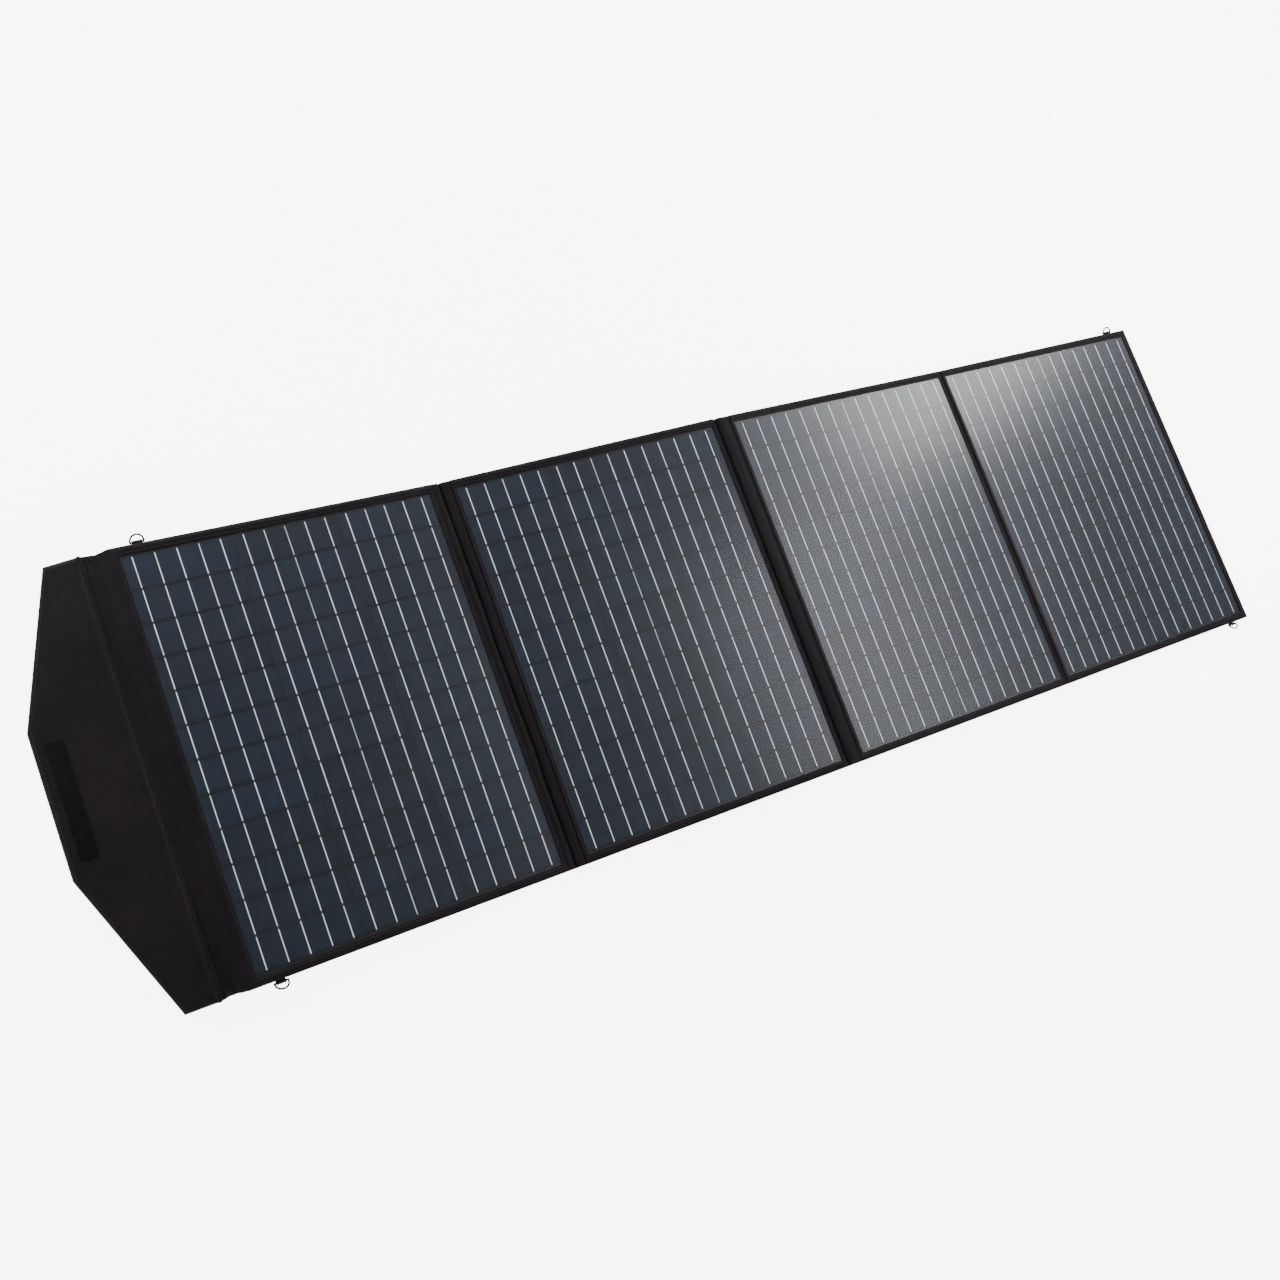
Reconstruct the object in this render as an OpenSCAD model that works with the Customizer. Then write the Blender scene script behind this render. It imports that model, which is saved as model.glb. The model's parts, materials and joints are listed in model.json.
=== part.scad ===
// Folding solar panel blanket: four stiff panels in cloth, three cloth folds and a closing flap.
// Millimetres. X runs along the row of panels, Y across it, Z up. The back edge is +Y.

/* [Cells] */
// Width of one cell
cell_w = 156.75; // [150:0.25:160]
// Gap between cell columns
col_gap = 2.5; // [1:0.1:4]
// Number of cell columns in a panel
cols = 3; // [2:1:3]
// Distance from one cell row to the next
row_pitch = 50; // [40:0.5:52]
// Gap between cell rows
row_gap = 1.4; // [0.8:0.1:3]
// Number of cell rows in a panel
rows = 12; // [8:1:12]
// Busbars on each cell
bars = 5; // [3:1:5]
// Width of a busbar
bar_w = 1.8; // [1:0.1:3]

/* [Panel layers] */
// Thickness of the cloth
cloth_t = 0.8; // [0.5:0.1:1]
// Thickness of the foam pad
foam_t = 2.6; // [2.5:0.1:4]
// Thickness of the backing board
board_t = 1.6; // [1:0.1:2]
// Thickness of the cells
cell_t = 0.3; // [0.2:0.05:0.4]
// Thickness of the busbars
bar_t = 0.15; // [0.1:0.05:0.3]
// Thickness of the clear front film
film_t = 0.45; // [0.3:0.05:0.6]
// How far the board reaches past the window
board_rim = 5.5; // [5:0.1:5.8]
// How far the film reaches under the cover
film_rim = 5; // [4:0.5:5]
// Width of the cloth border on the outer edges
hem_w = 13; // [11:0.5:14]
// Width of the cloth border beside a fold
fold_hem_w = 6.5; // [6.4:0.1:7]

/* [Folds] */
// Distance between the windows of panels 1 and 2, and of 2 and 3
wide_gap = 45; // [42:1:50]
// Distance between the windows of panels 3 and 4
narrow_gap = 17; // [17:0.5:20]
// Distance from window 1 to the first fold line
crease_1 = 24; // [22:1:26]
// Distance from window 2 to the second fold line
crease_2 = 11; // [10:0.5:12]
// Thickness of a fold strip
strip_t = 1.4; // [1:0.1:1.5]
// Slope of panel 1, falling to the right
slope_1 = 3.9; // [3:0.1:5]
// Slope of panel 2, rising to the right
slope_2 = 1.9; // [1.5:0.1:2.5]

/* [Closing flap] */
// Width of the soft gusset
gusset_w = 36; // [35.8:0.1:36.6]
// Thickness of the gusset
gusset_t = 1.2; // [1:0.1:1.3]
// Slope of the gusset, falling to the left
gusset_slope = 4; // [2:0.5:6]
// Reach of the flap past its crease
flap_l = 129; // [110:1:140]
// Reach of the flap where it starts to taper
flap_shoulder = 47; // [40:1:60]
// Length of the straight outer edge of the flap
flap_end_w = 206; // [180:2:240]
// Thickness of each cloth layer of the flap
flap_cloth_t = 0.6; // [0.5:0.1:0.7]
// Thickness of the stiff sheet in the flap
flap_core_t = 1.6; // [1.4:0.1:1.7]
// Thickness of the hook and loop patches
patch_t = 1.2; // [0.8:0.1:1.3]
// Length of the hook and loop patches
patch_l = 165; // [100:5:180]
// Width of the hook patch
patch_w = 24; // [15:1:30]

/* [D rings] */
// Outer width of a ring
ring_w = 22; // [20:1:26]
// Wire diameter of a ring
ring_wire = 2.8; // [2.4:0.1:3]
// Tilt of a ring above level
ring_tilt = 30; // [10:5:45]
// Distance of a ring from the corner of the window
ring_in = 30; // [25:1:34]
// Width of a webbing tab
tab_w = 14; // [10:1:14]

/* [Legs and pocket] */
// Length of a support leg
leg_l = 350; // [250:10:380]
// Width of a support leg
leg_w = 60; // [40:2:60]
// Thickness of a support leg
leg_t = 3.6; // [3:0.1:3.8]
// Length of the pocket along X
pocket_l = 150; // [130:2:160]
// Length of the pocket along Y
pocket_w = 200; // [160:5:240]
// Depth of the pocket
pocket_t = 16; // [15:0.5:17]
// Length of the carry handle
handle_l = 190; // [150:5:240]

/* [Output] */
// Which node to draw

/* [Hidden] */
$fn = 48;

window_w = cols*cell_w + (cols - 1)*col_gap + 0.75;
window_h = rows*row_pitch + 6;
half_h = window_h/2;
edge_y = half_h + hem_w;

// layer levels above the back face of a panel
z_foam = cloth_t;
z_board = z_foam + foam_t;
z_cell = z_board + board_t;
z_bar = z_cell + cell_t;
z_film = z_bar + bar_t;
z_lip = z_film + film_t;
panel_t = z_lip + cloth_t;

// fold lines: the valley lines lie just above the front face, the ridge line below the back
face_gap = 0.3;
z_valley = panel_t + face_gap;
z_ridge = -2.7;
line_gap = 0.15;
x_fold_1a = window_w + crease_1;
x_fold_1b = crease_1 - wide_gap;
x_fold_2a = window_w + crease_2;
x_fold_2b = crease_2 - wide_gap;
x_fold_3a = window_w + narrow_gap/2;
x_fold_3b = -narrow_gap/2;

// gusset and flap
z_soft = gusset_t + face_gap;
x_gusset = -hem_w - 2.5;
soft_gap = 1.2;
flap_t = 2*flap_cloth_t + flap_core_t;

// position [x, z] of a point p on a part that rises to the right by a degrees
function spun(a, p) = [p[0]*cos(a) - p[1]*sin(a), p[0]*sin(a) + p[1]*cos(a)];

// where A sin(s) + B cos(s) = C
function solve(A, B, C) = asin(C/sqrt(A*A + B*B)) - atan2(B, A);

line_1 = [0, z_valley*cos(slope_2) - line_gap*sin(slope_2)];
origin_2 = line_1 - spun(slope_2, [x_fold_1b, z_valley]);
line_2 = origin_2 + spun(slope_2, [x_fold_2a, z_ridge]);
slope_3 = solve(x_fold_3a - x_fold_2b, z_valley - z_ridge, z_valley + patch_t - line_2[1]);
origin_3 = line_2 - spun(slope_3, [x_fold_2b, z_ridge]);
line_3 = origin_3 + spun(slope_3, [x_fold_3a, z_valley]);
origin_4 = line_3 - [x_fold_3b, z_valley];
origin_1 = line_1 - spun(-slope_1, [x_fold_1a, z_valley]);
line_g = origin_1 + spun(-slope_1, [x_gusset, z_soft]);
line_f = line_g + spun(gusset_slope, [-gusset_w, 0]);
flap_slope = solve(flap_l, z_soft, line_f[1]);
x_left = line_f[0] + spun(flap_slope, [-flap_l, flap_t - z_soft])[0];
x_right = origin_4[0] + window_w + hem_w;
x_mid = (x_left + x_right)/2;

// rings
ring_r = (ring_w - ring_wire)/2;
ring_side = 1.5;
loop_r = ring_wire/2 + 0.3;
loop_t = 1;
bar_y = edge_y + loop_r + loop_t + 0.3;
bar_z = loop_r;
ring_x_1 = ring_in;
ring_x_4 = window_w - ring_in;

// legs
leg_gap = 0.3;
leg_top = 240;
leg_x_2 = window_w - 50;
leg_x_3 = 116;

// pocket
pocket_x = 20;
pocket_wall = 1;
box_l = 96;
box_w = 70;
box_t = 12.5;

// loop patch, where the hook patch lands
hook_s = 100;
loop_w = 50;
stack_shift = x_fold_1a + x_fold_1b - x_fold_2a - x_fold_2b + x_fold_3a + x_fold_3b;
loop_x = stack_shift - x_gusset - hook_s;

panel_nodes = ["back_cloth", "foam_pad", "junction_box", "backing_board", "cells", "busbars",
    "front_film", "front_cover"];

cloth_c = [0.13, 0.12, 0.13];
foam_c = [0.55, 0.55, 0.53];
board_c = [0.08, 0.16, 0.12];
cell_c = [0.08, 0.11, 0.17];
metal_c = [0.75, 0.76, 0.78];
film_c = [0.6, 0.68, 0.75, 0.25];
plastic_c = [0.06, 0.06, 0.07];
hook_c = [0.05, 0.05, 0.05];

// ---------- helpers ----------

// moves a part from its own frame to its place at rest
module at_slope(origin, slope) {
    translate([origin[0] - x_mid, 0, origin[1]])
        rotate([0, -slope, 0])
            children();
}

module on_panel(p) {
    origins = [origin_1, origin_2, origin_3, origin_4];
    slopes = [-slope_1, slope_2, slope_3, 0];
    at_slope(origins[p - 1], slopes[p - 1])
        children();
}

module on_gusset() {
    at_slope(line_g, gusset_slope)
        translate([0, 0, -z_soft])
            children();
}

module on_flap() {
    at_slope(line_f, flap_slope)
        translate([0, 0, -z_soft])
            children();
}

// flat plate from x0 to x1, centred in Y, with round corners
module plate(x0, x1, half_y, r, z0, z1) {
    translate([0, 0, z0])
        linear_extrude(z1 - z0)
            rounded(x0, x1, half_y, r);
}

module rounded(x0, x1, half_y, r) {
    translate([x0 + r, -half_y])
        square([x1 - x0 - 2*r, 2*half_y]);
    translate([x0, -half_y + r])
        square([x1 - x0, 2*half_y - 2*r]);
    for (x = [x0 + r, x1 - r])
        for (y = [-half_y + r, half_y - r])
            translate([x, y])
                circle(r);
}

function left_hem(p) = p == 1 ? hem_w : fold_hem_w;
function right_hem(p) = p == 4 ? hem_w : fold_hem_w;

// ---------- one panel ----------

module back_cloth(p) {
    color(cloth_c)
        plate(-left_hem(p), window_w + right_hem(p), edge_y, 3, 0, cloth_t);
}

module foam_pad(p) {
    color(foam_c)
        difference() {
            plate(-board_rim, window_w + board_rim, half_h + board_rim, 3, z_foam, z_board);
            translate([window_w/2 - 42, -22, z_foam - 1])
                cube([84, 44, foam_t + 2]);
        }
}

module junction_box(p) {
    color(plastic_c)
        plate_at(window_w/2, 40, 20, z_board - 2.2, z_board);
}

module plate_at(x, half_x, half_y, z0, z1) {
    plate(x - half_x, x + half_x, half_y, 4, z0, z1);
}

module backing_board(p) {
    color(board_c)
        plate(-board_rim, window_w + board_rim, half_h + board_rim, 3, z_board, z_cell);
}

module cells(p) {
    color(cell_c)
        for (c = [0:cols - 1])
            for (r = [0:rows - 1])
                translate([column_x(c), -rows*row_pitch/2 + r*row_pitch + row_gap/2, z_cell])
                    cube([cell_w, row_pitch - row_gap, cell_t]);
}

function column_x(c) = (window_w - cols*cell_w - (cols - 1)*col_gap)/2 + c*(cell_w + col_gap);

module busbars(p) {
    color(metal_c)
        for (c = [0:cols - 1])
            for (b = [0:bars - 1])
                translate([column_x(c) + (b + 0.5)*cell_w/bars - bar_w/2, -rows*row_pitch/2, z_bar])
                    cube([bar_w, rows*row_pitch, bar_t]);
}

module front_film(p) {
    color(film_c)
        plate(-film_rim, window_w + film_rim, half_h + film_rim, 2, z_film, z_lip);
}

module front_cover(p) {
    cavity = board_rim + 0.2;
    color(cloth_c)
        difference() {
            plate(-left_hem(p), window_w + right_hem(p), edge_y, 3, cloth_t, panel_t);
            plate(-cavity, window_w + cavity, half_h + cavity, 3, cloth_t - 1, z_lip);
            plate(0, window_w, half_h, 3, z_lip - 1, panel_t + 1);
        }
}

module panel_part(p, kind) {
    on_panel(p) {
        if (kind == "back_cloth") back_cloth(p);
        if (kind == "foam_pad") foam_pad(p);
        if (kind == "junction_box") junction_box(p);
        if (kind == "backing_board") backing_board(p);
        if (kind == "cells") cells(p);
        if (kind == "busbars") busbars(p);
        if (kind == "front_film") front_film(p);
        if (kind == "front_cover") front_cover(p);
    }
}

// ---------- fold strips ----------

// the strip that is left of fold line f, on panel f
module fold_strip_left(f) {
    ends = [x_fold_1a, x_fold_2a, x_fold_3a];
    color(cloth_c)
        on_panel(f)
            strip(window_w + fold_hem_w, ends[f - 1] - line_gap);
}

// the strip that is right of fold line f, on panel f + 1
module fold_strip_right(f) {
    starts = [x_fold_1b, x_fold_2b, x_fold_3b];
    color(cloth_c)
        on_panel(f + 1)
            strip(starts[f - 1] + line_gap, -fold_hem_w);
}

module strip(x0, x1) {
    translate([x0, -edge_y, 0])
        cube([x1 - x0, 2*edge_y, strip_t]);
}

// ---------- gusset and flap, drawn flat with X 0 on their own hinge line ----------

module gusset_cloth() {
    color(cloth_c)
        on_gusset()
            translate([-gusset_w + soft_gap, -edge_y, 0])
                cube([gusset_w - 2*soft_gap, 2*edge_y, gusset_t]);
}

module carry_handle() {
    reach = handle_l/2;
    rise = 1.5;
    web = 1.5;
    sewn = 30;
    color(cloth_c)
        on_gusset()
            translate([-gusset_w/2 - 12.5, 0, 0])
                rotate([90, 0, 90])
                    linear_extrude(25)
                        polygon([[-reach, 0], [-reach, -web], [-reach + sewn - 4, -web],
                            [-reach + sewn, -web - rise], [reach - sewn, -web - rise],
                            [reach - sewn + 4, -web], [reach, -web], [reach, 0],
                            [reach - sewn, 0], [reach - sewn - 4, -rise],
                            [-reach + sewn + 4, -rise], [-reach + sewn, 0]]);
}

module flap_sheet(inset, z0, z1) {
    far = -flap_l + inset;
    half_end = flap_end_w/2 - inset/2;
    half_y = edge_y - inset;
    translate([0, 0, z0])
        linear_extrude(z1 - z0)
            polygon([[-soft_gap, -half_y], [-flap_shoulder, -half_y], [far, -half_end],
                [far, half_end], [-flap_shoulder, half_y], [-soft_gap, half_y]]);
}

module flap_back_cloth() {
    color(cloth_c)
        on_flap()
            flap_sheet(0, 0, flap_cloth_t);
}

module flap_stiffener() {
    color(plastic_c)
        on_flap()
            flap_sheet(6, flap_cloth_t, flap_cloth_t + flap_core_t);
}

// the front cloth closes the edge round the stiff sheet
module flap_front_cloth() {
    color(cloth_c)
        on_flap()
            difference() {
                flap_sheet(0, flap_cloth_t, flap_t);
                translate([0.6, 0, 0])
                    flap_sheet(6, 0, flap_cloth_t + flap_core_t);
                flap_sheet(6, 0, flap_cloth_t + flap_core_t);
            }
}

module hook_patch() {
    color(hook_c)
        on_flap()
            translate([-hook_s - patch_w/2, -patch_l/2, flap_t])
                cube([patch_w, patch_l, patch_t]);
}

module loop_patch() {
    color(hook_c)
        on_panel(4)
            translate([loop_x - loop_w/2, -patch_l/2, -patch_t])
                cube([loop_w, patch_l, patch_t]);
}

// ---------- D rings and their tabs ----------

// side 1 is the back edge, side -1 the front edge
module at_edge(side) {
    if (side > 0)
        children();
    else
        mirror([0, 1, 0])
            children();
}

module ring_tab(x) {
    difference() {
        union() {
            translate([x - tab_w/2, edge_y - 30, -loop_t])
                cube([tab_w, bar_y - edge_y + 30, loop_t]);
            translate([x - tab_w/2, bar_y, bar_z])
                rotate([0, 90, 0])
                    cylinder(r = loop_r + loop_t, h = tab_w);
        }
        translate([x - tab_w/2 - 1, bar_y, bar_z])
            rotate([0, 90, 0])
                cylinder(r = loop_r, h = tab_w + 2);
    }
}

module ring_tabs(p, x) {
    color(cloth_c)
        on_panel(p)
            for (side = [-1, 1])
                at_edge(side)
                    ring_tab(x);
}

module d_ring(p, x, side) {
    color(metal_c)
        on_panel(p)
            at_edge(side)
                translate([x, bar_y, bar_z])
                    rotate([ring_tilt, 0, 0])
                        ring_shape();
}

module ring_shape() {
    r = ring_wire/2;
    translate([-ring_r, 0, 0])
        rotate([0, 90, 0])
            cylinder(r = r, h = 2*ring_r);
    for (x = [-ring_r, ring_r]) {
        translate([x, 0, 0])
            sphere(r);
        translate([x, 0, 0])
            rotate([-90, 0, 0])
                cylinder(r = r, h = ring_side);
    }
    translate([0, ring_side, 0])
        rotate_extrude(angle = 180)
            translate([ring_r, 0])
                circle(r);
}

// ---------- legs ----------

module leg(p, x) {
    color(cloth_c)
        on_panel(p)
            translate([x, leg_top - 2 - leg_l/2, -leg_gap - leg_t])
                linear_extrude(leg_t)
                    rotate(90)
                        rounded(-leg_l/2, leg_l/2, leg_w/2, 8);
}

module leg_hinge(p, x) {
    color(cloth_c)
        on_panel(p)
            translate([x - leg_w/2, leg_top, -1])
                cube([leg_w, 24, 1]);
}

// ---------- pocket ----------

module pocket_bag() {
    half_y = pocket_w/2;
    color(cloth_c)
        on_panel(1)
            difference() {
                plate(pocket_x, pocket_x + pocket_l, half_y, 12, -pocket_t, 0);
                plate(pocket_x + pocket_wall, pocket_x + pocket_l - pocket_wall,
                    half_y - pocket_wall, 11, -pocket_t + pocket_wall, 1);
            }
}

module pocket_zip() {
    color(plastic_c)
        on_panel(1) {
            translate([pocket_x + pocket_l - 24, -pocket_w/2 + 14, -pocket_t - 1])
                cube([8, pocket_w - 28, 1]);
            translate([pocket_x + pocket_l - 22, -pocket_w/2 + 22, -pocket_t - 2])
                cube([4, 16, 1]);
        }
}

module controller_box() {
    color(plastic_c)
        on_panel(1)
            translate([pocket_x + pocket_l/2, 0, 0])
                plate(-box_l/2, box_l/2, box_w/2, 5, -box_t, 0);
}

module output_gland() {
    color(plastic_c)
        on_panel(1)
            translate([pocket_x + pocket_l/2, -box_w/2, -box_t/2])
                rotate([90, 0, 0])
                    difference() {
                        union() {
                            cylinder(r = 5.5, h = 4);
                            cylinder(r = 4, h = 14);
                        }
                        translate([0, 0, 4])
                            cylinder(r = 2.5, h = 12);
                    }
}

// ---------- the whole ----------

for (p = [1:4])
    for (n = panel_nodes)
        panel_part(p, n);
for (f = [1:3]) {
    fold_strip_left(f);
    fold_strip_right(f);
}
gusset_cloth();
flap_front_cloth();
flap_stiffener();
flap_back_cloth();
hook_patch();
carry_handle();
loop_patch();
ring_tabs(1, ring_x_1);  // ring_tabs_1
ring_tabs(4, ring_x_4);  // ring_tabs_4
d_ring(1, ring_x_1, -1);  // d_ring_1_front
d_ring(1, ring_x_1, 1);  // d_ring_1_back
d_ring(4, ring_x_4, -1);  // d_ring_4_front
d_ring(4, ring_x_4, 1);  // d_ring_4_back
leg_hinge(2, leg_x_2);  // leg_hinge_2
leg_hinge(3, leg_x_3);  // leg_hinge_3
leg(2, leg_x_2);  // leg_2
leg(3, leg_x_3);  // leg_3
pocket_bag();
pocket_zip();
controller_box();
output_gland();
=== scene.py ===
"""Looks of a folding solar blanket: cloth covers, folds, flap, cells, webbing and studio stage."""

import json
import math

import bmesh
import bpy
from bpy.props import FloatProperty, FloatVectorProperty, PointerProperty
from mathutils import Matrix, Vector, noise


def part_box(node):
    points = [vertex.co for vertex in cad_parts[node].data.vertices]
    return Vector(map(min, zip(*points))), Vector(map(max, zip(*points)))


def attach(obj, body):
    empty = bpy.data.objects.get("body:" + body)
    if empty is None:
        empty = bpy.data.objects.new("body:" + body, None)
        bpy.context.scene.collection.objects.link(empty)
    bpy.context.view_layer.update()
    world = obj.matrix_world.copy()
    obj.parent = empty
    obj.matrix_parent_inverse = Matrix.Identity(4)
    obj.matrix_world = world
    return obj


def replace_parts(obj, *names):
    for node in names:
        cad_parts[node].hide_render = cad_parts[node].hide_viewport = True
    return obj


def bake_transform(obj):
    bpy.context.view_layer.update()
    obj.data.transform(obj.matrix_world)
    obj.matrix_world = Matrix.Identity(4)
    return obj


bl_info = {
    "name": "Folding solar blanket",
    "version": (1, 0, 0),
    "blender": (4, 5, 0),
    "location": "3D View > Sidebar > Solar blanket",
    "description": "Builds the cloth, cells, webbing and stage of a folding solar panel blanket",
    "category": "Add Mesh",
}

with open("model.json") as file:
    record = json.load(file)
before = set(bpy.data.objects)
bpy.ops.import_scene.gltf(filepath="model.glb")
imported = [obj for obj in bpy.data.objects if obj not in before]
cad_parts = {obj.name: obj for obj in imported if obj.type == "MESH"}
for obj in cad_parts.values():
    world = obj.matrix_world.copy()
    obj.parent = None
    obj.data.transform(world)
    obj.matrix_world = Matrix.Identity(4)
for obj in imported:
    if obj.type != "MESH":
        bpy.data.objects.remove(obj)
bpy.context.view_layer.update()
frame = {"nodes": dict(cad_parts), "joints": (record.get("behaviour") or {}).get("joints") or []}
NODES = frame["nodes"]
JOINT = {j["name"]: j for j in frame["joints"]}

# sizes of one panel, in millimetres, in its own flat frame:
# X from the left edge of the cell window, Y from the middle, Z up from the back face
MM = 0.001
WINDOW_W = 476.0
WINDOW_HALF = 303.0
EDGE_Y = 316.0
OUTER_HEM = 13.0
FOLD_HEM = 6.5
FILM_TOP = 5.9
PANEL_T = 6.7
FOLDED_Z = 6.94
VALLEY_Z = 7.0
RIDGE_Z = -2.7
SOFT_Z = 1.5
WIDE_GAP = 45.0
NARROW_GAP = 17.0
CREASE_1 = 24.0
CREASE_2 = 11.0
GUSSET_X = -15.5
GUSSET_W = 36.0
ROW_PITCH = 50.0
CELL_W = 156.75
COLUMN_GAP = 2.5
CELL_START = 0.375
ROWS = 12
BARS = 5
FINGER_PITCH = 1.6
# half the dark gap between rows and between columns, as a share of their pitch
ROW_GAP_SHARE = 0.042
COLUMN_GAP_SHARE = 0.013

# the three folds, from left to right: their axes in the frames of the panels beside them,
# the gaps that the cloth spans, and how it bends and creases
FOLD_LEFT = (WINDOW_W + CREASE_1, WINDOW_W + CREASE_2, WINDOW_W + NARROW_GAP / 2)
FOLD_RIGHT = (CREASE_1 - WIDE_GAP, CREASE_2 - WIDE_GAP, -NARROW_GAP / 2)
FOLD_Z = (VALLEY_Z, RIDGE_Z, VALLEY_Z)
FOLD_GAP = (WIDE_GAP, WIDE_GAP, NARROW_GAP)
FOLD_REACH = (9.0, 9.0, 1.6)
FOLD_TUCK = (0.6, 0.6, 3.2)
FOLD_STEPS = (34, 34, 12)
CREASE_DIP = (5.2, 4.8, 2.6)
CREASE_WIDE = (2.1, 2.4, 1.2)
CREASE_SHIFT = (-2.5, 0.0, 0.0)
CREASE_SWAY = (1.3, 0.4, 0.0)


# ---------- places ----------

def joint_at(name):
    """X and Z of a joint's axis, in millimetres."""
    p = JOINT[name]["pos_m"]
    return Vector((p[0] / MM, p[2] / MM))


def pinned(local, world, turn):
    """Matrix from a flat part frame in millimetres to the row frame in metres.

    The part is turned by turn, in radians, and its point local lies at world.
    """
    c, s = math.cos(turn), math.sin(turn)
    x = world.x - (local.x * c - local.y * s)
    z = world.y - (local.x * s + local.y * c)
    m = Matrix(((c, 0, -s, x), (0, 1, 0, 0), (s, 0, c, z), (0, 0, 0, 1)))
    return Matrix.Scale(MM, 4) @ m


def placed(local_a, world_a, local_b, world_b):
    """Matrix and slope in degrees of a part, from two of its points."""
    a, b = Vector(local_a), Vector(local_b)
    turn = math.atan2(*reversed(world_b - world_a)) - math.atan2(*reversed(b - a))
    return pinned(a, world_a, turn), math.degrees(turn)


def panel_places():
    """Matrix and slope of each panel, from the joints at its two ends."""
    g, f1, f2, f3 = (joint_at(n) for n in ("gusset_fold", "fold_1", "fold_2", "fold_3"))
    ring = joint_at("ring_4_back_swing")
    return {
        1: placed((GUSSET_X, SOFT_Z), g, (FOLD_LEFT[0], VALLEY_Z), f1),
        2: placed((FOLD_RIGHT[0], VALLEY_Z), f1, (FOLD_LEFT[1], RIDGE_Z), f2),
        3: placed((FOLD_RIGHT[1], RIDGE_Z), f2, (FOLD_LEFT[2], VALLEY_Z), f3),
        4: placed((FOLD_RIGHT[2], VALLEY_Z), f3, (WINDOW_W - 30, 1.7), ring),
    }


PANEL = panel_places()
FLAP_JOINT = joint_at("flap_fold")
GUSSET = placed((0, SOFT_Z), joint_at("gusset_fold"), (-GUSSET_W, SOFT_Z), FLAP_JOINT)
GUSSET_TURN = (GUSSET[1] - PANEL[1][1] + 180) % 360 - 180



# the flap's far lower edge lies on the ground at rest
FLAP_REACH = math.hypot(*(Vector((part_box("flap_back_cloth")[0].x / MM, 0)) - FLAP_JOINT))
FLAP_SLOPE = math.degrees(
    math.asin(FLAP_JOINT.y / math.hypot(FLAP_REACH, SOFT_Z)) - math.atan2(SOFT_Z, FLAP_REACH)
)
FLAP_TURN = FLAP_SLOPE - GUSSET[1]
FLAP = pinned(Vector((0, SOFT_Z)), FLAP_JOINT, math.radians(FLAP_SLOPE))


def ease(t):
    """From 0 to 1 with a soft start and end."""
    t = min(max(t, 0.0), 1.0)
    return t * t * (3 - 2 * t)


def turned(v, axis_x, axis_z, degrees):
    """v turned about a line along Y, rising to the right by degrees."""
    a = math.radians(degrees)
    x, z = v.x - axis_x, v.z - axis_z
    return Vector((
        axis_x + x * math.cos(a) - z * math.sin(a),
        v.y,
        axis_z + x * math.sin(a) + z * math.cos(a),
    ))


def wave_noise(x, y, scale, seed=0.0):
    """A smooth random wave over x and y, the same on each run."""
    return noise.noise(Vector((x * scale, y * scale, seed)))


# ---------- mesh helpers ----------

def piece(bm, name, finish, place=None, smooth=True, thickness=0.0, body=None):
    """Ends a bmesh that holds millimetres, puts it in place and makes its object."""
    if place is not None:
        bmesh.ops.transform(bm, matrix=place, verts=bm.verts)
    if smooth:
        for f in bm.faces:
            f.smooth = True
    mesh = bpy.data.meshes.new(name)
    bm.to_mesh(mesh)
    bm.free()
    obj = bpy.data.objects.new(name, mesh)
    bpy.context.scene.collection.objects.link(obj)
    mesh.materials.append(finish)
    if thickness:
        solid = obj.modifiers.new("Cloth thickness", "SOLIDIFY")
        solid.thickness = thickness
        solid.offset = -1.0
        solid.use_even_offset = False
    if body:
        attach(obj, body)
    return obj


def steps(*marks):
    """Positions from (start, count, end, count, end ...)."""
    out = [marks[0]]
    for count, end in zip(marks[1::2], marks[2::2]):
        start = out[-1]
        out += [start + (end - start) * (k + 1) / count for k in range(count)]
    return out


def sheet_mesh(xs, ys, height, keep=None):
    """A grid of cloth over the positions xs and ys, raised to height(x, y)."""
    bm = bmesh.new()
    nx, ny = len(xs) - 1, len(ys) - 1
    bmesh.ops.create_grid(bm, x_segments=nx, y_segments=ny, size=0.5)
    for v in bm.verts:
        x = xs[round((v.co.x + 0.5) * nx)]
        y = ys[round((v.co.y + 0.5) * ny)]
        v.co = (x, y, height(x, y))
    if keep:
        gone = [f for f in bm.faces if not keep(*f.calc_center_median().xy)]
        bmesh.ops.delete(bm, geom=gone, context="FACES")
    return bm


def face_up(bm):
    """Makes all faces of an open sheet agree and look upwards."""
    bmesh.ops.recalc_face_normals(bm, faces=bm.faces)
    if sum(f.normal.z for f in bm.faces) < 0:
        bmesh.ops.reverse_faces(bm, faces=bm.faces)


def face_down(bm):
    for f in bm.faces:
        f.normal_flip()


def drop_edges(bm, chosen, dz=None, to_z=None):
    """Extrudes the boundary edges that chosen(middle) picks and lowers the new ones."""
    edges = [
        e for e in bm.edges
        if e.is_boundary and chosen((e.verts[0].co + e.verts[1].co) / 2)
    ]
    new = bmesh.ops.extrude_edge_only(bm, edges=edges)["geom"]
    for v in new:
        if isinstance(v, bmesh.types.BMVert):
            v.co.z = to_z if dz is None else v.co.z + dz


def slab_mesh(outline, z0, z1, rim, segments=3):
    """A closed plate with that outline, its top and bottom rims rounded."""
    bm = bmesh.new()
    face = bm.faces.new([bm.verts.new((x, y, z0)) for x, y in outline])
    new = bmesh.ops.extrude_face_region(bm, geom=[face])["geom"]
    bmesh.ops.translate(
        bm, vec=(0, 0, z1 - z0), verts=[v for v in new if isinstance(v, bmesh.types.BMVert)]
    )
    bmesh.ops.recalc_face_normals(bm, faces=bm.faces)
    flat = [e for e in bm.edges if abs(e.verts[0].co.z - e.verts[1].co.z) < 1e-6]
    bmesh.ops.bevel(
        bm, geom=flat, offset=rim, offset_type="OFFSET", affect="EDGES",
        segments=segments, profile=0.5, material=-1,
    )
    return bm


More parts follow.
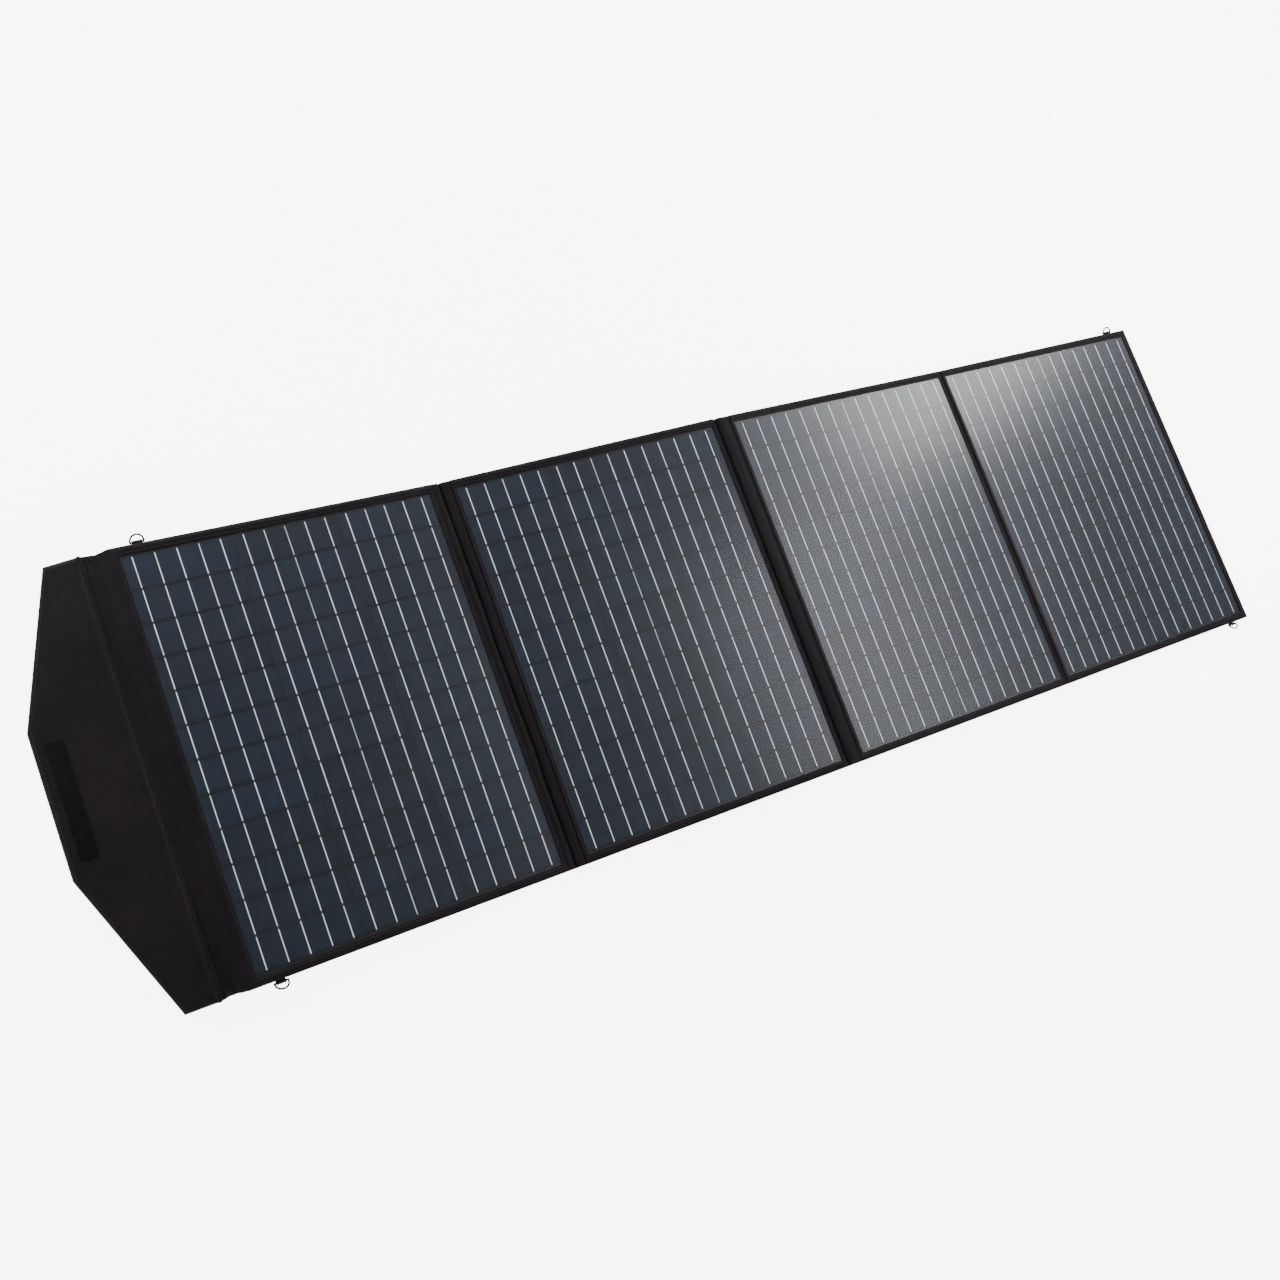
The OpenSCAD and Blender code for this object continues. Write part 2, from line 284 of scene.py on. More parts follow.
def round_box(x0, x1, y0, y1, r, n=5):
    """Outline of a rectangle with round corners."""
    out = []
    corners = ((x1 - r, y1 - r, 0), (x0 + r, y1 - r, 90), (x0 + r, y0 + r, 180), (x1 - r, y0 + r, 270))
    for cx, cy, a0 in corners:
        for k in range(n + 1):
            a = math.radians(a0 + 90 * k / n)
            out.append((cx + r * math.cos(a), cy + r * math.sin(a)))
    return out


def plate(x0, x1, y0, y1, corner, z0, z1, rim, segments):
    """A rectangular plate with round corners and rounded rims."""
    return slab_mesh(round_box(x0, x1, y0, y1, corner), z0, z1, rim, segments)


def sizes():
    """The sizes that a user may change, kept in metres."""
    return bpy.context.scene.blanket_sizes


def stitch_row(bm, start, end):
    """A row of thread stitches from start to end, as flattened beads."""
    a, b = Vector(start), Vector(end)
    run = b - a
    length, width = sizes().stitch_length / MM, sizes().thread_width / MM
    count = max(1, int(run.length / (sizes().stitch_pitch / MM)))
    turn = run.to_track_quat("X", "Z").to_matrix().to_4x4()
    size = Matrix.Diagonal((length / 2, width / 2, width / 2.6, 1))
    for k in range(count):
        at = a + run * ((k + 0.5) / count)
        bmesh.ops.create_icosphere(
            bm, subdivisions=1, radius=1, matrix=Matrix.Translation(at) @ turn @ size
        )


def box_rows(x0, x1, y0, y1, z, cross=False):
    """The rows of a sewn rectangle, with or without a cross in it."""
    rows = [
        ((x0, y0, z), (x0, y1, z)), ((x1, y0, z), (x1, y1, z)),
        ((x0, y0, z), (x1, y0, z)), ((x0, y1, z), (x1, y1, z)),
    ]
    if cross:
        rows += [((x0, y0, z), (x1, y1, z)), ((x0, y1, z), (x1, y0, z))]
    return rows


def stitches(name, rows, place, body):
    """A piece of thread stitches along rows of (start, end)."""
    bm = bmesh.new()
    for start, end in rows:
        stitch_row(bm, start, end)
    return piece(bm, name, material("thread"), place, body=body)


def sweep(section, path):
    """A closed strip: the section, a list of points, carried along the matrices of path."""
    bm = bmesh.new()
    face = bm.faces.new([bm.verts.new(path[0] @ Vector(p)) for p in section])
    for before, after in zip(path, path[1:]):
        new = bmesh.ops.extrude_face_region(bm, geom=[face], use_keep_orig=True)["geom"]
        verts = [g for g in new if isinstance(g, bmesh.types.BMVert)]
        step = after @ before.inverted()
        bmesh.ops.transform(bm, matrix=step, verts=verts)
        old = face
        face = next(g for g in new if isinstance(g, bmesh.types.BMFace))
        if before is not path[0]:
            bmesh.ops.delete(bm, geom=[old], context="FACES_ONLY")
    bmesh.ops.recalc_face_normals(bm, faces=bm.faces)
    return bm


def web_section(width, thick, r=0.25):
    """Cross-section of flat webbing in the XZ plane, with eased corners."""
    w, t = width / 2, thick / 2
    return [
        (-w + r, 0, -t), (w - r, 0, -t), (w, 0, -t + r), (w, 0, t - r),
        (w - r, 0, t), (-w + r, 0, t), (-w, 0, t - r), (-w, 0, -t + r),
    ]


# ---------- material helpers ----------

def opaque(value):
    """A colour of three numbers gets its alpha, and a socket stays as it is."""
    return (*value, 1) if isinstance(value, tuple) and len(value) == 3 else value


class Nodes:
    """Short calls for making a material's nodes. Patterns follow the object's coordinates."""

    def __init__(self, name):
        self.mat = bpy.data.materials.new(name)
        self.mat.use_nodes = True
        self.tree = self.mat.node_tree
        self.tree.nodes.clear()
        self.out = self.tree.nodes.new("ShaderNodeOutputMaterial")
        self.place = self.tree.nodes.new("ShaderNodeTexCoord").outputs["Object"]

    def link(self, socket, value):
        """Links another node's socket, or sets the value."""
        if isinstance(value, bpy.types.NodeSocket):
            self.tree.links.new(value, socket)
        else:
            socket.default_value = value

    def math(self, operation, a, b=0.0, c=0.0, clamp=False):
        n = self.tree.nodes.new("ShaderNodeMath")
        n.operation = operation
        n.use_clamp = clamp
        for socket, value in zip(n.inputs, (a, b, c)):
            self.link(socket, value)
        return n.outputs[0]

    def axes(self, vector=None):
        n = self.tree.nodes.new("ShaderNodeSeparateXYZ")
        self.link(n.inputs[0], vector or self.place)
        return n.outputs

    def noise(self, scale, detail=2.0, rough=0.5, stretch=None):
        n = self.tree.nodes.new("ShaderNodeTexNoise")
        n.inputs["Scale"].default_value = scale
        n.inputs["Detail"].default_value = detail
        n.inputs["Roughness"].default_value = rough
        source = self.place
        if stretch:
            m = self.tree.nodes.new("ShaderNodeMapping")
            m.inputs["Scale"].default_value = stretch
            self.link(m.inputs["Vector"], self.place)
            source = m.outputs[0]
        self.link(n.inputs["Vector"], source)
        return n.outputs["Fac"]

    def cells(self, scale, feature="F1"):
        n = self.tree.nodes.new("ShaderNodeTexVoronoi")
        n.feature = feature
        n.inputs["Scale"].default_value = scale
        self.link(n.inputs["Vector"], self.place)
        return n.outputs["Distance"]

    def ramp(self, value, low, high):
        n = self.tree.nodes.new("ShaderNodeMapRange")
        n.inputs["From Min"].default_value = low
        n.inputs["From Max"].default_value = high
        self.link(n.inputs["Value"], value)
        return n.outputs[0]

    def mix(self, share, a, b):
        n = self.tree.nodes.new("ShaderNodeMix")
        n.data_type = "RGBA"
        self.link(n.inputs["Factor"], share)
        colour = [s for s in n.inputs if s.type == "RGBA"]
        for socket, value in zip(colour, (a, b)):
            self.link(socket, opaque(value))
        return next(s for s in n.outputs if s.type == "RGBA")

    def bump(self, height, distance, strength=1.0, over=None):
        n = self.tree.nodes.new("ShaderNodeBump")
        n.inputs["Strength"].default_value = strength
        n.inputs["Distance"].default_value = distance
        self.link(n.inputs["Height"], height)
        if over is not None:
            self.link(n.inputs["Normal"], over)
        return n.outputs[0]

    def surface(self, **values):
        n = self.tree.nodes.new("ShaderNodeBsdfPrincipled")
        for key, value in values.items():
            socket = n.inputs[key.replace("_", " ")]
            self.link(socket, opaque(value) if socket.type == "RGBA" else value)
        self.tree.links.new(n.outputs[0], self.out.inputs["Surface"])
        return self.mat


def weave(n, pitch):
    """Plain weave: crossing threads that go over and under, pitch in metres."""
    x, y, _ = n.axes()
    k = math.pi / pitch
    u = n.math("SINE", n.math("MULTIPLY", x, k))
    v = n.math("SINE", n.math("MULTIPLY", y, k))
    return n.math("MULTIPLY", u, v)


def cloth_material(name, dark, light, pitch=0.0007, bump=0.00006, rough=0.62, wrinkle=0.0004):
    """Woven cloth with slubs, lint and soft creases."""
    n = Nodes(name)
    threads = weave(n, pitch)
    slub = n.noise(420, 3, 0.6, (1, 0.18, 1))
    broad = n.noise(9, 4, 0.55)
    creases = n.noise(38, 5, 0.6, (1, 0.55, 1))
    patches = n.math("MULTIPLY", n.ramp(broad, 0.3, 0.7), 0.6)
    share = n.math("ADD", patches, n.math("MULTIPLY", slub, 0.4))
    colour = n.mix(share, dark, light)
    lint = n.ramp(n.noise(900, 2, 0.7), 0.72, 0.84)
    colour = n.mix(n.math("MULTIPLY", lint, 0.25), colour, tuple(c * 2.6 for c in light))
    height = n.math("ADD", n.math("MULTIPLY", threads, 0.5), n.math("MULTIPLY", slub, 0.6))
    fine = n.bump(height, bump, 0.8)
    return n.surface(
        Base_Color=colour,
        Roughness=n.math("MULTIPLY_ADD", broad, 0.16, rough - 0.08),
        Normal=n.bump(creases, wrinkle, 0.7, fine),
        Specular_IOR_Level=0.1,
    )


def webbing_material(name, colour):
    """Ribbed webbing with a little fuzz."""
    n = Nodes(name)
    x, y, _ = n.axes()
    ribs = n.math("SINE", n.math("MULTIPLY", n.math("ADD", x, y), math.pi / 0.0009))
    cross = n.math("SINE", n.math("MULTIPLY", n.math("SUBTRACT", x, y), math.pi / 0.0013))
    height = n.math("MAXIMUM", ribs, cross)
    fuzz = n.noise(700, 3, 0.7)
    rough = n.math("ADD", height, fuzz)
    shade = n.mix(n.ramp(rough, 0.2, 1.6), tuple(c * 0.55 for c in colour), colour)
    return n.surface(
        Base_Color=shade, Roughness=0.7, Normal=n.bump(rough, 0.00014), Specular_IOR_Level=0.1,
    )


def patch_material(name, colour, scale, bump):
    """Hook or loop tape: a dense field of small tufts."""
    n = Nodes(name)
    tufts = n.cells(scale)
    clumps = n.noise(160, 4, 0.7)
    shade = n.mix(n.ramp(clumps, 0.3, 0.75), tuple(c * 0.5 for c in colour), colour)
    height = n.math("SUBTRACT", clumps, n.math("MULTIPLY", tufts, 1.2))
    return n.surface(
        Base_Color=shade, Roughness=0.9, Normal=n.bump(height, bump), Specular_IOR_Level=0.08,
    )


def thread_material():
    n = Nodes("Black thread")
    x, y, _ = n.axes()
    twist = n.math("SINE", n.math("MULTIPLY", n.math("ADD", x, y), 9000.0))
    shade = n.mix(n.noise(120, 2), (0.012, 0.011, 0.012), (0.035, 0.03, 0.033))
    return n.surface(
        Base_Color=shade, Roughness=0.55, Normal=n.bump(twist, 0.00005), Specular_IOR_Level=0.4,
    )


def plastic_material(name, colour, rough=0.45):
    """Moulded plastic with fine grain and light scuffs."""
    n = Nodes(name)
    grain = n.noise(1400, 3, 0.6)
    scuff = n.noise(60, 5, 0.65, (1, 0.3, 1))
    shade = n.mix(n.ramp(scuff, 0.45, 0.8), colour, tuple(c * 1.8 + 0.01 for c in colour))
    return n.surface(
        Base_Color=shade, Roughness=n.math("MULTIPLY_ADD", scuff, 0.2, rough - 0.1),
        Normal=n.bump(grain, 0.00004, 0.6),
    )


def ring_material():
    """Dark plated wire, worn lighter in places; the lighter patches are also painted glints."""
    n = Nodes("Dark plated wire")
    # lighter patches: partly real wear, partly painted glints
    wear_and_glints = n.ramp(n.noise(90, 5, 0.7), 0.52, 0.66)
    draw = n.noise(500, 3, 0.6, (0.1, 1, 1))
    shade = n.mix(wear_and_glints, (0.003, 0.003, 0.004), (0.028, 0.028, 0.03))
    return n.surface(
        Base_Color=shade, Metallic=0.35, Specular_IOR_Level=0.06,
        Roughness=n.math("MULTIPLY_ADD", draw, 0.2, 0.3),
        Normal=n.bump(draw, 0.00003, 0.5),
    )


def local_x(n, p):
    """The panel's own X in millimetres, read from the object's coordinates."""
    origin = PANEL[p][0] @ Vector((0, 0, 5.3))
    scale = math.cos(math.radians(PANEL[p][1])) * MM
    return n.math("DIVIDE", n.math("SUBTRACT", n.axes()[0], origin.x), scale)


def row_place(n):
    """The place along the rows of cells, counted in rows from the front edge."""
    return n.math("DIVIDE", n.math("ADD", n.axes()[1], ROWS * ROW_PITCH * MM / 2), ROW_PITCH * MM)


def off_whole(n, value):
    """How far a value is from the nearest whole number."""
    return n.math("ABSOLUTE", n.math("SUBTRACT", n.math("FRACT", n.math("ADD", value, 0.5)), 0.5))


def cell_material(name, p, tint):
    """Silicon cells: dark blue, hairline contact fingers, small shade differences from cell to cell."""
    n = Nodes(name)
    from_gap = n.math("ADD", local_x(n, p), COLUMN_GAP / 2 - CELL_START)
    across = n.math("DIVIDE", from_gap, CELL_W + COLUMN_GAP)
    along = row_place(n)
    key = n.tree.nodes.new("ShaderNodeCombineXYZ")
    n.link(key.inputs[0], n.math("FLOOR", across))
    n.link(key.inputs[1], n.math("FLOOR", along))
    pick = n.tree.nodes.new("ShaderNodeTexWhiteNoise")
    n.link(pick.inputs["Vector"], key.outputs[0])
    one = pick.outputs["Value"]
    grain = n.noise(55, 4, 0.6, (1, 0.35, 1))
    flecks = n.math("MULTIPLY", n.ramp(grain, 0.3, 0.7), 0.35)
    share = n.math("ADD", n.math("MULTIPLY", one, 0.65), flecks)
    dull = (tint[0] * 1.15, tint[1] * 0.85, tint[2] * 0.7)
    bright = (tint[0] * 0.9, tint[1] * 1.15, tint[2] * 1.25)
    base = n.mix(share, dull, bright)
    finger = n.math("FRACT", n.math("DIVIDE", n.axes()[1], FINGER_PITCH * MM))
    line = n.math("LESS_THAN", finger, 0.07)
    base = n.mix(n.math("MULTIPLY", line, 0.35), base, (0.16, 0.19, 0.23))
    row_gap = n.math("LESS_THAN", off_whole(n, along), ROW_GAP_SHARE)
    edge = n.math("MAXIMUM", row_gap, n.math("LESS_THAN", off_whole(n, across), COLUMN_GAP_SHARE))
    base = n.mix(n.math("MULTIPLY", edge, 0.65), base, (0.0006, 0.0009, 0.0015))
    return n.surface(
        Base_Color=base, Roughness=0.45, Specular_IOR_Level=0.3, Normal=n.bump(line, 0.00002, 0.4),
    )


def busbar_material(p):
    """Tinned ribbon with painted shade along its rounded edges and a small dark solder step at each gap
    between cell rows.
    """
    n = Nodes(f"Tinned ribbon {p}")
    pitch = CELL_W + COLUMN_GAP
    column = n.math("FRACT", n.math("DIVIDE", n.math("SUBTRACT", local_x(n, p), CELL_START), pitch))
    bar = n.math("FRACT", n.math("MULTIPLY", column, pitch * BARS / CELL_W))
    off = n.math("MULTIPLY", n.math("ABSOLUTE", n.math("SUBTRACT", bar, 0.5)), CELL_W / BARS)
    # rim: the outer part of each ribbon, where painted shade of its rounded edges goes
    rim = n.ramp(off, 0.5, 0.75)
    joint = n.math("LESS_THAN", off_whole(n, row_place(n)), ROW_GAP_SHARE)
    dull = n.noise(110, 4, 0.6, (3, 0.4, 1))
    shade = n.mix(n.ramp(dull, 0.3, 0.75), (0.54, 0.56, 0.58), (0.82, 0.83, 0.85))
    # painted shade: the ribbon's rounded edges darkened towards black
    shade = n.mix(n.math("MULTIPLY", rim, 0.8), shade, (0.06, 0.07, 0.08))
    shade = n.mix(n.math("MULTIPLY", joint, 0.97), shade, (0.012, 0.014, 0.018))
    return n.surface(
        Base_Color=shade, Metallic=n.math("MULTIPLY", n.math("SUBTRACT", 1.0, joint), 0.2),
        Roughness=n.math("MULTIPLY_ADD", dull, 0.2, 0.38),
    )


def board_material():
    n = Nodes("Backing board")
    fibre = weave(n, 0.0012)
    shade = n.mix(n.ramp(fibre, -1.0, 1.0), (0.0012, 0.0016, 0.0022), (0.003, 0.004, 0.006))
    return n.surface(Base_Color=shade, Roughness=0.5, Normal=n.bump(fibre, 0.00003, 0.5))


def foam_material():
    n = Nodes("Closed cell foam")
    pores = n.cells(900)
    shade = n.mix(n.ramp(pores, 0.0, 0.8), (0.10, 0.10, 0.10), (0.2, 0.2, 0.19))
    return n.surface(Base_Color=shade, Roughness=0.85, Normal=n.bump(pores, 0.0002))


def film_material(rough):
    """Clear satin film: it shows what is under it and adds a wide soft gloss."""
    n = Nodes("Satin film")
    fine = n.noise(2600, 2, 0.5)
    broad = n.noise(5, 3, 0.5)
    gloss = n.tree.nodes.new("ShaderNodeBsdfGlossy")
    gloss.inputs["Color"].default_value = (1, 1, 1, 1)
    n.link(gloss.inputs["Roughness"], n.math("MULTIPLY_ADD", broad, 0.06, rough - 0.03))
    n.link(gloss.inputs["Normal"], n.bump(fine, 0.00001, 0.3))
    clear = n.tree.nodes.new("ShaderNodeBsdfTransparent")
    angle = n.tree.nodes.new("ShaderNodeFresnel")
    angle.inputs["IOR"].default_value = 1.4
    side = n.tree.nodes.new("ShaderNodeNewGeometry").outputs["Backfacing"]
    mixer = n.tree.nodes.new("ShaderNodeMixShader")
    n.link(mixer.inputs[0], n.math("MULTIPLY", angle.outputs[0], n.math("SUBTRACT", 1.0, side)))
    n.tree.links.new(clear.outputs[0], mixer.inputs[1])
    n.tree.links.new(gloss.outputs[0], mixer.inputs[2])
    n.tree.links.new(mixer.outputs[0], n.out.inputs["Surface"])
    return n.mat


MADE = {}


def material(key):
    """Each finish is made once."""
    look = bpy.context.scene.blanket_look
    makers = {
        "cloth": lambda: cloth_material(
            "Black blanket cloth", tuple(look.cloth_dark), tuple(look.cloth_light)
        ),
        "back": lambda: cloth_material(
            "Back cloth", (0.009, 0.009, 0.010), (0.022, 0.021, 0.023),
            pitch=0.0009, bump=0.00009, rough=0.7, wrinkle=0.0006,
        ),
        "webbing": lambda: webbing_material("Black webbing", (0.022, 0.021, 0.022)),
        "hook": lambda: patch_material("Hook tape", (0.0022, 0.0021, 0.0024), 1100, 0.0004),
        "loop": lambda: patch_material("Loop tape", (0.0075, 0.0072, 0.0078), 700, 0.0006),
        "thread": thread_material,
        "plastic": lambda: plastic_material("Black plastic", (0.012, 0.012, 0.013)),
        "ring": ring_material,
        "board": board_material,
        "foam": foam_material,
        "film": lambda: film_material(look.film_roughness),
    }
    if key not in MADE:
        MADE[key] = makers[key]()
    return MADE[key]


# ---------- cloth shapes ----------

LEFT_HEM = {1: OUTER_HEM, 2: FOLD_HEM, 3: FOLD_HEM, 4: FOLD_HEM}
RIGHT_HEM = {1: FOLD_HEM, 2: FOLD_HEM, 3: FOLD_HEM, 4: OUTER_HEM}


def panel_ends(p):
    """Left and right edge of a panel's cloth."""
    return -LEFT_HEM[p], WINDOW_W + RIGHT_HEM[p]


def rolled(e, r):
    """How far a round edge drops, at the distance e from it."""
    if e >= r:
        return 0.0
    return r - math.sqrt(max(r * r - (r - e) ** 2, 0.0))


def border_height(p, x, y):
    """Height of the front cover's cloth."""
    right = panel_ends(p)[1]
    edge = EDGE_Y - abs(y)
    if p == 4:
        edge = min(edge, right - x)
    inner = max(-x, x - WINDOW_W, abs(y) - WINDOW_HALF, 0.0)
    puff = math.sin(math.pi * min(max((inner - 3.0) / 8.0, 0), 1))
    z = PANEL_T - 0.25 + 0.55 * puff - rolled(edge, 2.6)
    ripple = 0.35 * wave_noise(x, y, 0.045, p) + 0.2 * wave_noise(x, y, 0.13, p + 9)
    z += ripple * min(inner / 5, 1)
    z -= 0.45 * math.exp(-((inner - 2.6) / 0.8) ** 2)
    return min(max(z, FILM_TOP + 0.15), FOLDED_Z)


def make_cover(p):
    """The border round a panel's window, with its lip on the film and its edge turned down."""
    left, right = panel_ends(p)
    xs = steps(left, 7 if p == 1 else 4, 0.0, 60, WINDOW_W, 7 if p == 4 else 4, right)
    ys = steps(-EDGE_Y, 9, -WINDOW_HALF, 76, WINDOW_HALF, 9, EDGE_Y)

    def outside(x, y):
        return not (0 < x < WINDOW_W and abs(y) < WINDOW_HALF)

    bm = sheet_mesh(xs, ys, lambda x, y: border_height(p, x, y), outside)

    def rim(m):
        return abs(abs(m.y) - EDGE_Y) < 0.01 or (p == 4 and abs(m.x - right) < 0.01)

    def window(m):
        return -0.5 < m.x < WINDOW_W + 0.5 and abs(m.y) < WINDOW_HALF + 0.5

    drop_edges(bm, window, to_z=FILM_TOP - 0.02)
    drop_edges(bm, rim, to_z=0.3)
    face_up(bm)
    obj = piece(
        bm, f"cover_{p}", material("cloth"), PANEL[p][0], thickness=sizes().cloth, body=f"panel_{p}"
    )
    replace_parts(obj, f"front_cover_{p}")
    # the border is sewn from strips as wide as the outer hem and the part that is turned down
    turned_down = PANEL_T + 0.5
    strip = OUTER_HEM + turned_down
    area = 2 * (right - left) * strip + 2 * WINDOW_HALF * (LEFT_HEM[p] + RIGHT_HEM[p])
    if p == 4:
        area += 2 * WINDOW_HALF * turned_down


def make_cover_stitches(p):
    """One seam round the window, just outside its lip."""
    inset = 3.0
    y = WINDOW_HALF + inset
    rows = box_rows(-inset, WINDOW_W + inset, -y, y, PANEL_T - 0.42)
    stitches(f"cover_stitches_{p}", rows, PANEL[p][0], f"panel_{p}")


def make_back(p):
    """The slightly rippled cloth on a panel's back."""
    left, right = panel_ends(p)
    xs = steps(left, 3, left + 5, 40, right - 5, 3, right)
    ys = steps(-EDGE_Y, 3, -EDGE_Y + 5, 50, EDGE_Y - 5, 3, EDGE_Y)

    def height(x, y):
        e = min(EDGE_Y - abs(y), x - left, right - x)
        z = 0.35 + 0.3 * wave_noise(x, y, 0.012, p + 20) + 0.12 * wave_noise(x, y, 0.05, p + 31)
        return max(z * min(e / 20, 1) + 0.25 * (1 - min(e / 6, 1)), 0.05)

    bm = sheet_mesh(xs, ys, height)
    face_down(bm)
    obj = piece(
        bm, f"back_{p}", material("back"), PANEL[p][0], thickness=sizes().back_cloth, body=f"panel_{p}"
    )
    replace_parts(obj, f"back_cloth_{p}")


def fold_bend(f):
    """The rest bend of fold f, for points in the flat frame of the panel on its left."""
    axis_x, axis_z, reach = FOLD_LEFT[f - 1], FOLD_Z[f - 1], FOLD_REACH[f - 1]
    turn = PANEL[f + 1][1] - PANEL[f][1]

    def bend(v):
        w = ease((v.x - (axis_x - reach)) / (2 * reach))
        return turned(v, axis_x, axis_z, turn * w)

    return bend, axis_x, axis_z, reach


def make_fold(f, front):
    """The cloth between two panels, front or back. It dips into a crease over the fold line."""
    bend, axis_x, axis_z, reach = fold_bend(f)
    tuck = FOLD_TUCK[f - 1]
    x0 = WINDOW_W + FOLD_HEM - tuck
    x1 = WINDOW_W + FOLD_GAP[f - 1] - FOLD_HEM + tuck

    def height(x, y):
        t = (x - x0) / (x1 - x0)
        ends = ease((abs(y) - (EDGE_Y - 26)) / 26)
        edge = EDGE_Y - abs(y)
        if not front:
            return 0.25 + 0.5 * math.sin(math.pi * t) * (1 + 0.5 * wave_noise(x, y, 0.03, f))
        under = min(x - x0, x1 - x)
        crease = axis_x + CREASE_SHIFT[f - 1] + CREASE_SWAY[f - 1] * wave_noise(f, y, 0.012, 15)
        half = min((x - x0) / (crease - x0) if x < crease else (x1 - x) / (x1 - crease), 1)
        z = 5.6 + 1.25 * math.sin(math.pi * half) ** 2 - 0.8 * ease((tuck - 0.4 - under) / 0.8)
        z -= CREASE_DIP[f - 1] * math.exp(-((x - crease) / CREASE_WIDE[f - 1]) ** 2)
        side = math.sin(math.pi * t)
        z += side * 0.7 * wave_noise(x, y * 0.25, 0.09, f + 3)
        z += side * 0.45 * wave_noise(x, y * 0.6, 0.22, f + 5)
        z += ends * side * (0.5 + 1.2 * wave_noise(x, y, 0.14, f + 7))
        if f == 2:  # this fold closes back to back, so its front cloth stays low on the ridge
            z = min(z, 1.5 + 1.05 * abs(x - axis_x))
        return max(min(z, FOLDED_Z - 0.1) - rolled(edge, 2.2) * 0.9, 1.3)

    ys = steps(-EDGE_Y, 8, -EDGE_Y + 6, 130, EDGE_Y - 6, 8, EDGE_Y)
    bm = sheet_mesh(steps(x0, FOLD_STEPS[f - 1], x1), ys, height)
    if front:
        drop_edges(bm, lambda m: abs(abs(m.y) - EDGE_Y) < 0.01, dz=-1.6)
        face_up(bm)
    else:
        face_down(bm)
    for v in bm.verts:
        v.co = bend(v.co)
    name = f"fold_{'front' if front else 'back'}_{f}"
    place = PANEL[f][0]
    obj = piece(bm, name, material("cloth" if front else "back"), place, thickness=sizes().cloth)
    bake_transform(obj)
    if front:
        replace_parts(obj, f"fold_strip_{f}_left", f"fold_strip_{f}_right")


# gusset and flap, in the flat frame of panel 1
CREASE_X = GUSSET_X - GUSSET_W


def soft_bend(v):
    """Rest bends of the gusset and the flap."""
    w_flap = ease((CREASE_X + 4 - v.x) / 8)
    v = turned(v, CREASE_X, SOFT_Z, FLAP_TURN * w_flap)
    w = ease((GUSSET_X + 4 - v.x) / 12)
    return turned(v, GUSSET_X, SOFT_Z, GUSSET_TURN * w)


def crease_line(y):
    """Where the crease shows: it bows away from the panel in the middle."""
    return CREASE_X + 1.2 + 5.0 * ease((abs(y) - 60) / 250) + 0.5 * wave_noise(0, y, 0.02, 33)


def gusset_height(x, y):
    """The soft strip slopes from the cover to the crease, and bunches at both ends."""
    t = min(max((-OUTER_HEM - x) / (-OUTER_HEM - CREASE_X), 0), 1)
    z = 2.1 + 4.3 * (1 - t) ** 2.4 + 0.85 * ease((CREASE_X + 1 - x) / 1.5)
    soft = math.sin(math.pi * t)
    z += soft * (0.35 * wave_noise(x, y * 0.3, 0.05, 3) + 0.2 * wave_noise(x, y, 0.11, 8))
    ends = ease((abs(y) - (EDGE_Y - 62)) / 50)
    free = 1 - 0.7 * math.exp(-((t - 0.46) / 0.14) ** 2)
    bunch = 1.5 * wave_noise(x * 2.0, y * 0.9, 0.1, 5) + 0.7 * wave_noise(x, y * 1.4, 0.25, 6)
    z += ends * free * bunch * ease(t * 4)
    tuck = ease((abs(y) - (EDGE_Y - 48)) / 44) ** 1.5
    wander = 1.6 * wave_noise(3, y, 0.05, 21)
    z += tuck * free * soft * 1.1 * math.sin(math.tau * x / 8.6 + wander * (2 if y > 0 else 3))
    line = crease_line(y)
    z += 0.5 * math.exp(-((x - line + 3.0) / 1.8) ** 2)
    floor = 1.1 if x > CREASE_X else 2.2
    z = max(z - 2.0 * math.exp(-((x - line) / 1.2) ** 2), floor)
    z -= 1.4 * ease((CREASE_X - 7.5 - x) / 2)
    return max(z - rolled(EDGE_Y - abs(y), 2.2) * 0.8, 1.1)


def make_gusset(part):
    """Half of the gusset: part 0 is the half beside panel 1, part 1 the half beside the flap."""
    middle = (GUSSET_X + CREASE_X) / 2
    x0, x1 = ((middle, -OUTER_HEM + 0.4), (CREASE_X - 9.5, middle))[part]
    ys = steps(-EDGE_Y, 10, -EDGE_Y + 8, 150, EDGE_Y - 8, 10, EDGE_Y)
    bm = sheet_mesh(steps(x0, (34, 46)[part], x1), ys, gusset_height)
    for v in bm.verts:
        x, y = v.co.x, v.co.y
        t = min(max((-OUTER_HEM - x) / (-OUTER_HEM - CREASE_X), 0), 1)
        pull = math.sin(math.pi * t) * (2.2 + 1.5 * wave_noise(x, 0, 0.12, 50 + (y > 0)))
        v.co.y -= math.copysign(pull, y) * ease((abs(y) - (EDGE_Y - 40)) / 40)
    drop_edges(bm, lambda m: abs(m.y) > EDGE_Y - 6, dz=-1.8)
    face_up(bm)
    for v in bm.verts:
        v.co = soft_bend(v.co)
    name = ("gusset_inner", "gusset_outer")[part]
    place = PANEL[1][0]
    obj = piece(bm, name, material("cloth"), place, thickness=sizes().gusset_cloth)
    if part == 0:
        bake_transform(obj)
        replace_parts(obj, "gusset_cloth")
    else:
        place @ soft_bend(Vector((CREASE_X + 4, 0, SOFT_Z)))
        place @ soft_bend(Vector((CREASE_X - 4, 0, SOFT_Z)))
        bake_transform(obj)


FLAP_SHOULDER = 47.0
FLAP_END = 103.0
FLAP_THICK = 2.8


def flap_edge(x, y):
    """Distance from the flap's outline, in its flat frame."""
    s = -x
    run = Vector((FLAP_REACH - FLAP_SHOULDER, FLAP_END - EDGE_Y))
    across = Vector((run.y, -run.x)).normalized()
    taper = (Vector((s, abs(y))) - Vector((FLAP_SHOULDER, EDGE_Y))).dot(across)
    return min(FLAP_REACH - s, EDGE_Y - abs(y), taper, s - 0.6)


